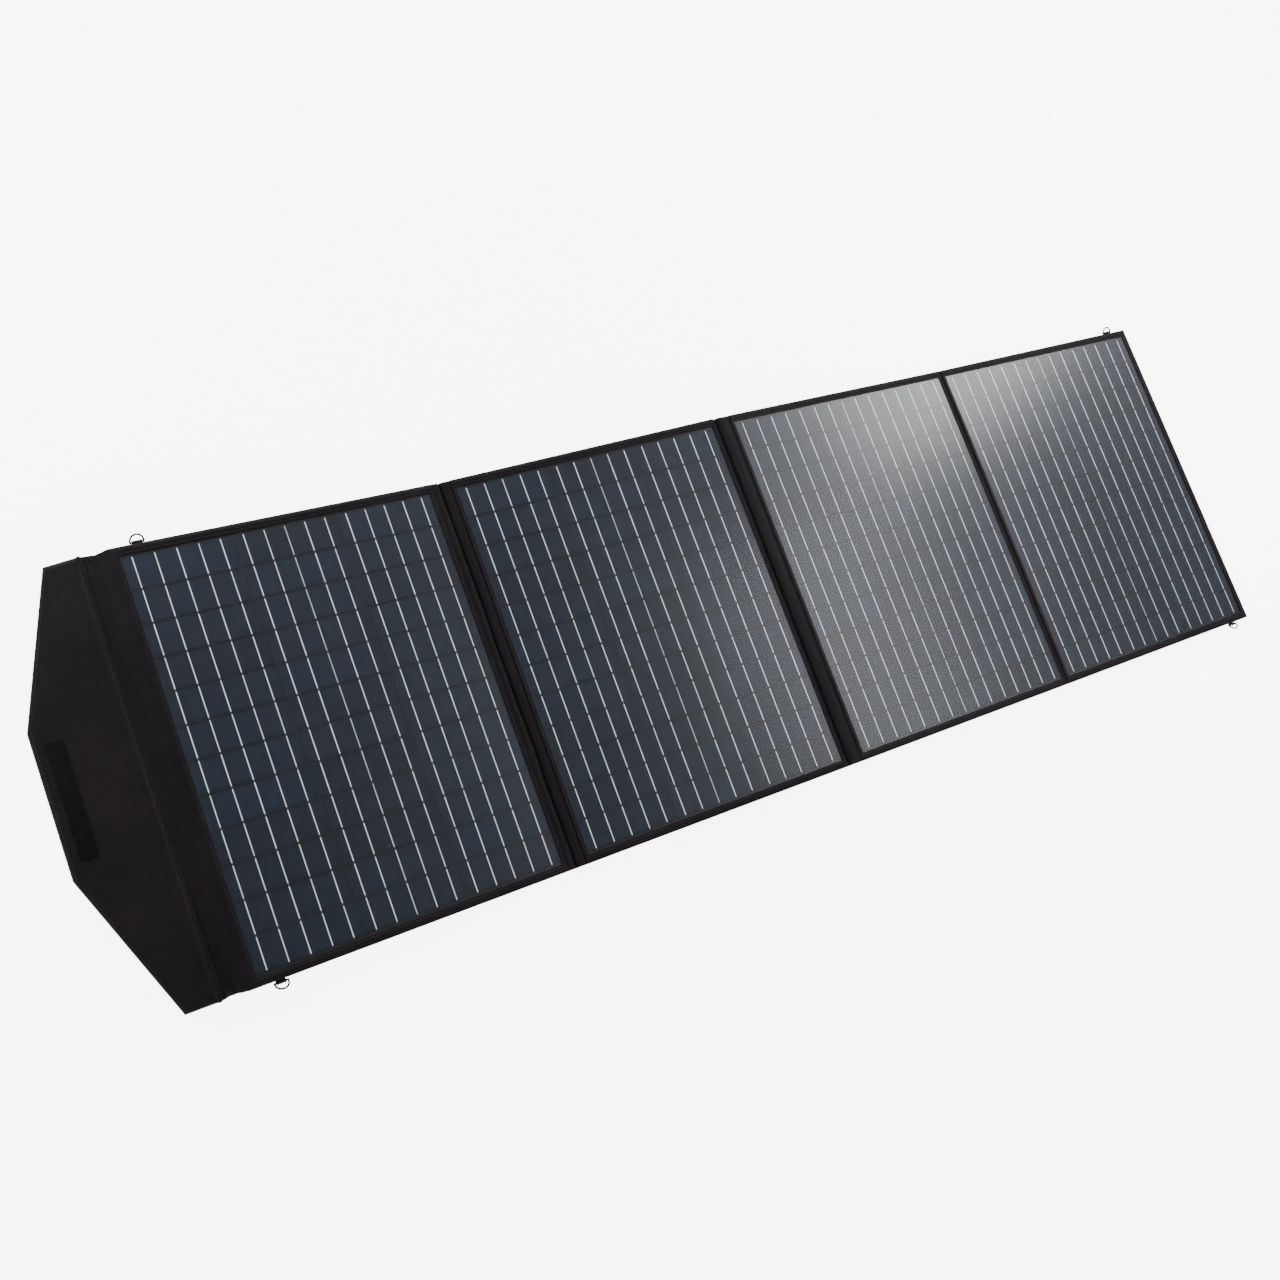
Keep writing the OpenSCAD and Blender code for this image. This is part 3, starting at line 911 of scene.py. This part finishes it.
def make_flap():
    """Closed padded plate: front and back cloth over the stiff sheet, cut to the tapered outline."""
    reach, shoulder = FLAP_REACH, FLAP_SHOULDER
    bm = bmesh.new()
    nx, ny = 44, 170
    bmesh.ops.create_grid(bm, x_segments=nx, y_segments=ny, size=0.5)
    for v in bm.verts:
        v.co = (-reach + (v.co.x + 0.5) * (reach - 0.6), v.co.y * 2 * EDGE_Y, 0)
    for side in (-1, 1):
        run = Vector((-(reach - shoulder), side * (FLAP_END - EDGE_Y), 0))
        out = Vector((-abs(run.y), side * abs(run.x), 0)).normalized()
        bmesh.ops.bisect_plane(
            bm, geom=bm.verts[:] + bm.edges[:] + bm.faces[:], dist=0.0001,
            plane_co=(-shoulder, side * EDGE_Y, 0), plane_no=out, clear_outer=True,
        )
    bmesh.ops.triangulate(bm, faces=[f for f in bm.faces if len(f.verts) > 4])
    new = bmesh.ops.duplicate(bm, geom=bm.verts[:] + bm.edges[:] + bm.faces[:])
    under = {g for g in new["geom"] if isinstance(g, bmesh.types.BMVert)}
    flips = [g for g in new["geom"] if isinstance(g, bmesh.types.BMFace)]
    for v in bm.verts:
        x, y = v.co.x, v.co.y
        e = max(flap_edge(x, y), 0)
        body = ease(e / 5)
        groove = 0.35 * math.exp(-((e - 5.5) / 0.9) ** 2)
        ripple = 0.35 * wave_noise(x, y, 0.02, 2) + 0.15 * wave_noise(x, y, 0.07, 4)
        roll = rolled(e, 1.3)
        if v in under:
            v.co.z = 0.05 + roll + 0.15 * body * abs(wave_noise(x, y, 0.03, 12)) + groove * 0.6
        else:
            v.co.z = FLAP_THICK + 0.15 - roll - groove + body * ripple * 0.6
    for f in flips:
        f.normal_flip()
    edges = [e for e in bm.edges if e.is_boundary]
    bmesh.ops.bridge_loops(bm, edges=edges)
    bmesh.ops.recalc_face_normals(bm, faces=bm.faces)
    obj = piece(bm, "flap_cover", material("cloth"), FLAP, body="flap")
    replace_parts(obj, "flap_front_cloth", "flap_back_cloth")
    inset, z = 5.5, FLAP_THICK - 0.1
    side_y, bend_x = EDGE_Y - inset, 1.5 - shoulder
    end_x, end_y = inset - reach, FLAP_END - inset * 0.6
    rows = [((end_x, -end_y, z), (end_x, end_y, z))]
    for side in (-1, 1):
        rows.append(((-6, side * side_y, z), (bend_x, side * side_y, z)))
        rows.append(((bend_x, side * side_y, z), (end_x, side * end_y, z)))
    stitches("flap_stitches", rows, FLAP, "flap")


HOOK_S = 100.0
HOOK_W = 24.0
HOOK_L = (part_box("hook_patch")[1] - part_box("hook_patch")[0]).y / MM
TAPE_T = 1.2
TAPE_SEAM = 2.0


def make_patches():
    """Hook tape on the flap, and the loop tape on the back that it closes on."""
    x0, x1, y, z = -HOOK_S - HOOK_W / 2, -HOOK_S + HOOK_W / 2, HOOK_L / 2, FLAP_THICK
    bm = plate(x0, x1, -y, y, 2, z, z + TAPE_T, 0.35, 2)
    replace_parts(piece(bm, "hook_tape", material("hook"), FLAP, body="flap"), "hook_patch")
    e = TAPE_SEAM
    stitches("hook_stitches", box_rows(x0 + e, x1 - e, -y + e, y - e, z + 0.95), FLAP, "flap")
    place = PANEL[4][0]
    a, b = (place.inverted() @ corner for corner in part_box("loop_patch"))
    bm = plate(a.x, b.x, a.y, b.y, 3, -TAPE_T, 0.0, 0.35, 2)
    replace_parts(piece(bm, "loop_tape", material("loop"), place, body="panel_4"), "loop_patch")
    stitches("loop_stitches", box_rows(a.x + e, b.x - e, a.y + e, b.y - e, -1.0), place, "panel_4")


RING_IN = 30.0
BAR_Y = 319.0
BAR_Z = 1.7
TAB_W = 14.0
SIDE_NAME = {-1: "front", 1: "back"}


def make_ring_tab(p, side):
    """Webbing that comes out from under the panel, turns round the ring's bar and comes back."""
    x = RING_IN if p == 1 else WINDOW_W - RING_IN
    r = 2.2
    place, body = PANEL[p][0], f"panel_{p}"
    path = []
    for y in (EDGE_Y - 30, EDGE_Y - 20, EDGE_Y - 8, BAR_Y - 0.5):
        path.append(Matrix.Translation((x, side * y, -0.5)))
    for k in range(1, 15):
        a = math.radians(-90 + 19 * k)
        at = Matrix.Translation((x, side * (BAR_Y + r * math.cos(a)), BAR_Z + r * math.sin(a)))
        path.append(at @ Matrix.Rotation(side * math.radians(19 * k), 4, "X"))
    bm = sweep(web_section(TAB_W, sizes().tab_webbing / MM), path)
    obj = piece(bm, f"ring_tab_{p}_{SIDE_NAME[side]}", material("webbing"), place, body=body)
    rows = box_rows(x - 5, x + 5, side * (EDGE_Y - 28), side * (EDGE_Y - 14), -1.0, cross=True)
    stitches(f"tab_stitches_{p}_{SIDE_NAME[side]}", rows, place, body)
    return obj


HANDLE_W = 25.0


def make_handle():
    """The carry handle under the gusset: sewn down at both ends, free in the middle."""
    reach, rise = 95.0, 3.6
    x = -GUSSET_W / 2
    path = []
    for k in range(41):
        t = -1 + 2 * k / 40
        y = reach * t
        lift = rise * ease((reach - 26 - abs(y)) / 16)
        lift += 0.5 * math.sin(6 * t) * ease((60 - abs(y)) / 30)
        path.append(Matrix.Translation((x, y, -0.7 - lift)))
    bm = sweep(web_section(HANDLE_W, sizes().handle_webbing / MM), path)
    obj = piece(bm, "handle_webbing", material("webbing"), GUSSET[0], body="gusset")
    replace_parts(obj, "carry_handle")
    rows = []
    for side in (-1, 1):
        rows += box_rows(x - 10, x + 10, side * (reach - 4), side * (reach - 24), -1.5, cross=True)
    stitches("handle_stitches", rows, GUSSET[0], "gusset")


LEG_X = {2: WINDOW_W - 50, 3: 116.0}
LEG_TOP = 240.0
LEG_L = 350.0
LEG_W = 60.0
LEG_T = 3.6


def make_leg(p):
    """A support leg: a stiff sheet in cloth, with a raised panel and a seam round it."""
    x0, x1, y1 = LEG_X[p] - LEG_W / 2, LEG_X[p] + LEG_W / 2, LEG_TOP - 2
    y0 = y1 - LEG_L
    bm = plate(x0, x1, y0, y1, 8, -0.3 - LEG_T, -0.35, 1.4, 4)
    flat = [f for f in bm.faces if abs(f.normal.z) > 0.9 and f.calc_area() > 1000]
    bmesh.ops.inset_region(bm, faces=flat, thickness=4, depth=0)
    bmesh.ops.inset_region(bm, faces=flat, thickness=1.5, depth=-0.35)
    bmesh.ops.inset_region(bm, faces=flat, thickness=1.5, depth=0.3)
    obj = piece(bm, f"leg_cover_{p}", material("back"), PANEL[p][0], body=f"leg_{p}")
    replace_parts(obj, f"leg_{p}")
    e = 5.6
    rows = box_rows(x0 + e, x1 - e, y0 + e, y1 - e, -0.3 - LEG_T + 0.1)
    stitches(f"leg_stitches_{p}", rows, PANEL[p][0], f"leg_{p}")


def make_leg_hinge(p):
    """A webbing strip sewn to the back and lapped over the leg's top end."""
    x = LEG_X[p]
    ys = steps(LEG_TOP - 12, 8, LEG_TOP + 3, 5, LEG_TOP + 24)
    xs = steps(x - LEG_W / 2 + 1, 12, x + LEG_W / 2 - 1)

    bm = sheet_mesh(xs, ys, lambda _x, _y: -0.35)
    face_down(bm)
    obj = piece(bm, f"leg_hinge_strip_{p}", material("webbing"), PANEL[p][0])
    solid = obj.modifiers.new("Webbing thickness", "SOLIDIFY")
    solid.thickness = sizes().hinge_webbing
    solid.offset = 1.0
    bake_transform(obj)
    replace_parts(obj, f"leg_hinge_{p}")


POCKET_X = (20.0, 170.0)
POCKET_Y = 100.0
POCKET_T = 16.0


def make_pocket():
    """Back pocket: a boxed bag that sags a little, with a seam cord round its face."""
    x0, x1 = POCKET_X
    bm = slab_mesh(round_box(x0, x1, -POCKET_Y, POCKET_Y, 12, 6), -POCKET_T, 0.0, 2.6, 4)
    long_edges = [e for e in bm.edges if e.calc_length() > 20]
    bmesh.ops.subdivide_edges(bm, edges=long_edges, cuts=9, use_grid_fill=True)
    big = [f for f in bm.faces if f.normal.z < -0.95 and f.calc_area() > 400]
    if big:
        bmesh.ops.triangulate(bm, faces=big)
        inner = [
            e for e in bm.edges
            if e.calc_length() > 14 and min(v.co.z for v in e.verts) < -POCKET_T + 0.1
        ]
        bmesh.ops.subdivide_edges(bm, edges=inner, cuts=5, use_grid_fill=True)
    for v in bm.verts:
        x, y, z = v.co
        depth = min(max(-z / POCKET_T, 0), 1)
        e = min(x - x0, x1 - x, POCKET_Y - abs(y))
        body = ease(e / 30)
        sag = 0.9 * wave_noise(x, y, 0.03, 40) + 0.5 * wave_noise(x, y, 0.09, 41)
        v.co.z += depth * (body * sag + 0.3)
        v.co.x += 0.8 * depth * (1 - body) * wave_noise(x, y, 0.06, 42)
        v.co.y += 0.8 * depth * (1 - body) * wave_noise(x, y, 0.06, 43)
    obj = piece(bm, "pocket", material("back"), PANEL[1][0], body="panel_1")
    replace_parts(obj, "pocket_bag")


ZIP_X = POCKET_X[1] - 20
ZIP_TEETH = 84


def make_zip():
    """The pocket's zip: tape, two rows of teeth, slider and webbing pull."""
    place, top = PANEL[1][0], -POCKET_T
    y_end = POCKET_Y - 10
    bm = plate(ZIP_X - 8, ZIP_X + 8, -y_end, y_end, 2, top - 0.35, top + 0.8, 0.3, 2)
    tape = piece(bm, "zip_tape", material("webbing"), place, body="panel_1")
    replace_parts(tape, "pocket_zip")
    bm = bmesh.new()
    for k in range(ZIP_TEETH):
        y = -POCKET_Y + 15 + (2 * POCKET_Y - 30) * k / (ZIP_TEETH - 1)
        at = Matrix.Translation((ZIP_X + (0.9 if k % 2 else -0.9), y, top - 0.7))
        bmesh.ops.create_cube(bm, size=1, matrix=at @ Matrix.Diagonal((2.6, 1.2, 1.0, 1)))
    bmesh.ops.bevel(
        bm, geom=bm.edges[:], offset=0.2, offset_type="OFFSET", affect="EDGES",
        segments=1, profile=0.5, material=-1,
    )
    piece(bm, "zip_teeth", material("plastic"), place, smooth=False, body="panel_1")
    bm = plate(ZIP_X - 3.5, ZIP_X + 3.5, 14 - POCKET_Y, 24 - POCKET_Y, 2, top - 2.2, top - 0.4, 0.5, 3)
    piece(bm, "zip_slider", material("ring"), place, body="panel_1")
    bm = plate(ZIP_X - 2.4, ZIP_X + 2.4, 20 - POCKET_Y, 44 - POCKET_Y, 2.3, top - 3.0, top - 2.0, 0.4, 3)
    piece(bm, "zip_pull", material("webbing"), place, body="panel_1")


# ---------- looks of the carried-over parts ----------

def dress(node, mat):
    """Gives a CAD part its finish."""
    slots = NODES[node].data.materials
    slots.clear()
    slots.append(mat)


def dress_parts():
    """Finishes of all CAD parts that stay visible."""
    tint = tuple(bpy.context.scene.blanket_look.cell_colour)
    for p in range(1, 5):
        dress(f"cells_{p}", cell_material(f"Silicon cells {p}", p, tint))
        dress(f"busbars_{p}", busbar_material(p))
        dress(f"backing_board_{p}", material("board"))
        dress(f"foam_pad_{p}", material("foam"))
        dress(f"junction_box_{p}", material("plastic"))
        dress(f"front_film_{p}", material("film"))
    for node in ("controller_box", "output_gland", "flap_stiffener"):
        dress(node, material("plastic"))
    for p in (1, 4):
        for side in SIDE_NAME.values():
            dress(f"d_ring_{p}_{side}", material("ring"))


# ---------- stage ----------

CAMERA_AT = (-1.25445, -0.30995, 2.03801)
CAMERA_RIGHT = (0.85117426, -0.34701854, 0.39380264)
CAMERA_UP = (0.25417805, 0.92893923, 0.26919404)
CAMERA_LENS = 40.576
SENSOR = 36.0


def make_floor():
    """A round floor that curves up into its own backdrop."""
    bm = bmesh.new()
    profile = [(0, 0), (3, 0), (6, 0), (8, 0)]
    for degrees in range(9, 91, 9):
        a = math.radians(degrees)
        profile.append((8 + 4 * math.sin(a), 4 - 4 * math.cos(a)))
    profile.append((12, 6))
    verts = [bm.verts.new((r, 0, z)) for r, z in profile]
    edges = [bm.edges.new(pair) for pair in zip(verts, verts[1:])]
    bmesh.ops.spin(
        bm, geom=verts + edges, axis=(0, 0, 1), cent=(0, 0, 0),
        angle=math.tau, steps=72, use_merge=True,
    )
    bmesh.ops.remove_doubles(bm, verts=bm.verts, dist=0.0001)
    bmesh.ops.recalc_face_normals(bm, faces=bm.faces)
    n = Nodes("Pale studio floor")
    shade = n.mix(n.noise(2, 3), (0.88, 0.88, 0.885), (0.92, 0.92, 0.92))
    rise = n.ramp(n.axes()[2], 0.0, 1.6)
    fade = n.math("POWER", n.math("SUBTRACT", 1.0, rise), 3.0)
    glow = n.math("ADD", 0.25, n.math("MULTIPLY", fade, 6.0))
    mat = n.surface(
        Base_Color=shade, Roughness=0.9, Specular_IOR_Level=0.0,
        Emission_Color=(1, 1, 1), Emission_Strength=glow,
    )
    piece(bm, "studio_floor", mat, Matrix.Translation((0, 0, -0.0006)))


def area_light(name, at, target, size, size_y, energy):
    """A soft white light at at, aimed at target."""
    data = bpy.data.lights.new(name, "AREA")
    data.shape = "RECTANGLE"
    data.size, data.size_y, data.energy = size, size_y, energy
    obj = bpy.data.objects.new(name, data)
    bpy.context.scene.collection.objects.link(obj)
    obj.location = at
    obj.rotation_euler = (Vector(target) - Vector(at)).to_track_quat("-Z", "Y").to_euler()
    obj.visible_camera = False


def make_lights():
    look = bpy.context.scene.blanket_look
    fill = look.fill_power
    area_light("Shine", (1.69, 0.77, 1.17), (0.6, 0.3, 0), 0.55, 0.5, look.shine_power)
    area_light("Veil", (1.15, -0.05, 1.42), (0.25, -0.1, 0), 0.9, 0.8, look.veil_power)
    area_light("Left", (-1.75, 1.25, 1.0), (-0.9, 0.2, 0), 0.9, 0.7, fill * 0.07)
    area_light("Front", (-0.4, -4.4, 1.8), (0, 0.3, 0), 4.6, 1.8, fill * 0.55)
    area_light("Behind", (0.4, 4.8, 2.1), (0, 0, 0), 4.6, 1.8, fill * 1.6)
    world = bpy.data.worlds.new("Studio")
    world.use_nodes = True
    back = world.node_tree.nodes["Background"]
    back.inputs["Color"].default_value = (1, 1, 1, 1)
    back.inputs["Strength"].default_value = look.sky
    bpy.context.scene.world = world


def make_camera():
    data = bpy.data.cameras.new("Camera")
    data.sensor_width = SENSOR
    data.sensor_fit = "HORIZONTAL"
    data.lens = CAMERA_LENS
    data.clip_end = 100
    cam = bpy.data.objects.new("Camera", data)
    bpy.context.scene.collection.objects.link(cam)
    right, up = Vector(CAMERA_RIGHT).normalized(), Vector(CAMERA_UP).normalized()
    back = right.cross(up)
    cam.matrix_world = Matrix.Translation(CAMERA_AT) @ Matrix((right, up, back)).transposed().to_4x4()
    bpy.context.scene.camera = cam


# ---------- add-on ----------

def length(name, description, default):
    """A length in metres, as a property."""
    return FloatProperty(
        name=name, description=description, default=default,
        min=0.0001, max=0.01, precision=5, unit="LENGTH",
    )


class BlanketSizes(bpy.types.PropertyGroup):
    """Thicknesses and stitching that a user would change."""

    cloth: length("Cloth", "Thickness of the front covers and of the folds", 0.0005)
    back_cloth: length("Back cloth", "Thickness of the cloth on the back", 0.0004)
    gusset_cloth: length("Gusset cloth", "Thickness of the doubled cloth beside the flap", 0.001)
    tab_webbing: length("Ring tab webbing", "Thickness of the webbing that holds the rings", 0.00095)
    handle_webbing: length("Handle webbing", "Thickness of the carry handle's webbing", 0.0014)
    hinge_webbing: length("Leg hinge webbing", "Thickness of the strips that hold the legs", 0.0007)
    stitch_length: length("Stitch", "Length of one stitch", 0.003)
    stitch_pitch: length("Stitch spacing", "From the start of one stitch to the next", 0.0042)
    thread_width: length("Thread", "Width of the sewing thread", 0.00055)


class BlanketLook(bpy.types.PropertyGroup):
    """Colours and light that a user would change."""

    cloth_dark: FloatVectorProperty(
        name="Cloth, dark threads", description="Darkest colour of the black cloth",
        subtype="COLOR", size=3, default=(0.0018, 0.0012, 0.0018),
    )
    cloth_light: FloatVectorProperty(
        name="Cloth, light threads", description="Lightest colour of the black cloth",
        subtype="COLOR", size=3, default=(0.0070, 0.0046, 0.0068),
    )
    cell_colour: FloatVectorProperty(
        name="Cells", description="Colour of the silicon cells",
        subtype="COLOR", size=3, default=(0.0042, 0.0080, 0.0165),
    )
    film_roughness: FloatProperty(
        name="Film roughness", description="How satin the front film is",
        default=0.26, min=0.05, max=0.8,
    )
    shine_power: FloatProperty(
        name="Shine light", description="Power of the soft light mirrored in the third panel",
        default=15, unit="POWER",
    )
    veil_power: FloatProperty(
        name="Veil light", description="Power of the dim light mirrored in the middle panels",
        default=9, unit="POWER",
    )
    fill_power: FloatProperty(
        name="Fill lights", description="Power that the three fill lights share in fixed parts",
        default=290, unit="POWER",
    )
    sky: FloatProperty(
        name="Sky", description="Strength of the even light all round", default=0.08, min=0,
    )


class BLANKET_OT_covers(bpy.types.Operator):
    """Make the front covers, their stitching and the back cloths"""

    bl_idname = "blanket.covers"
    bl_label = "Covers"

    def execute(self, context):
        for p in range(1, 5):
            make_cover(p)
            make_cover_stitches(p)
            make_back(p)
        return {"FINISHED"}


class BLANKET_OT_folds(bpy.types.Operator):
    """Make the cloth of the three folds"""

    bl_idname = "blanket.folds"
    bl_label = "Folds"

    def execute(self, context):
        for f in range(1, 4):
            make_fold(f, True)
            make_fold(f, False)
        return {"FINISHED"}


class BLANKET_OT_flap(bpy.types.Operator):
    """Make the gusset, the closing flap and the hook and loop tapes"""

    bl_idname = "blanket.flap"
    bl_label = "Gusset and flap"

    def execute(self, context):
        make_flap()
        make_gusset(0)
        make_gusset(1)
        make_patches()
        return {"FINISHED"}


class BLANKET_OT_webbing(bpy.types.Operator):
    """Make the ring tabs and the carry handle"""

    bl_idname = "blanket.webbing"
    bl_label = "Webbing"

    def execute(self, context):
        for p in (1, 4):
            tabs = [make_ring_tab(p, side) for side in (-1, 1)]
            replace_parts(tabs[0], f"ring_tabs_{p}")
        make_handle()
        return {"FINISHED"}


class BLANKET_OT_back(bpy.types.Operator):
    """Make the support legs, the back pocket and its zip"""

    bl_idname = "blanket.back"
    bl_label = "Legs and pocket"

    def execute(self, context):
        for p in (2, 3):
            make_leg(p)
            make_leg_hinge(p)
        make_pocket()
        make_zip()
        return {"FINISHED"}


class BLANKET_OT_panels(bpy.types.Operator):
    """Give the cells, busbars, boards, film, plastic and metal their finishes"""

    bl_idname = "blanket.panels"
    bl_label = "Cells and film"

    def execute(self, context):
        dress_parts()
        return {"FINISHED"}


class BLANKET_OT_stage(bpy.types.Operator):
    """Make the floor, the lights and the camera"""

    bl_idname = "blanket.stage"
    bl_label = "Stage"

    def execute(self, context):
        make_floor()
        make_lights()
        make_camera()
        return {"FINISHED"}


OPERATORS = (
    BLANKET_OT_covers, BLANKET_OT_folds, BLANKET_OT_flap, BLANKET_OT_webbing,
    BLANKET_OT_back, BLANKET_OT_panels, BLANKET_OT_stage,
)


class BLANKET_PT_panel(bpy.types.Panel):
    """Lists the look settings and the steps"""

    bl_label = "Solar blanket"
    bl_idname = "BLANKET_PT_panel"
    bl_space_type = "VIEW_3D"
    bl_region_type = "UI"
    bl_category = "Solar blanket"

    def draw(self, context):
        for group in (context.scene.blanket_sizes, context.scene.blanket_look):
            for name in group.bl_rna.properties.keys():
                if name not in ("rna_type", "name"):
                    self.layout.prop(group, name)
        for op in OPERATORS:
            self.layout.operator(op.bl_idname)


CLASSES = (BlanketSizes, BlanketLook, *OPERATORS, BLANKET_PT_panel)


def register():
    for c in CLASSES:
        bpy.utils.register_class(c)
    bpy.types.Scene.blanket_sizes = PointerProperty(type=BlanketSizes)
    bpy.types.Scene.blanket_look = PointerProperty(type=BlanketLook)


def unregister():
    del bpy.types.Scene.blanket_look
    del bpy.types.Scene.blanket_sizes
    for c in reversed(CLASSES):
        bpy.utils.unregister_class(c)


def main():
    register()
    for op in OPERATORS:
        group, name = op.bl_idname.split(".")
        getattr(getattr(bpy.ops, group), name)()
    bpy.context.view_layer.update()


if __name__ == "__main__":
    main()
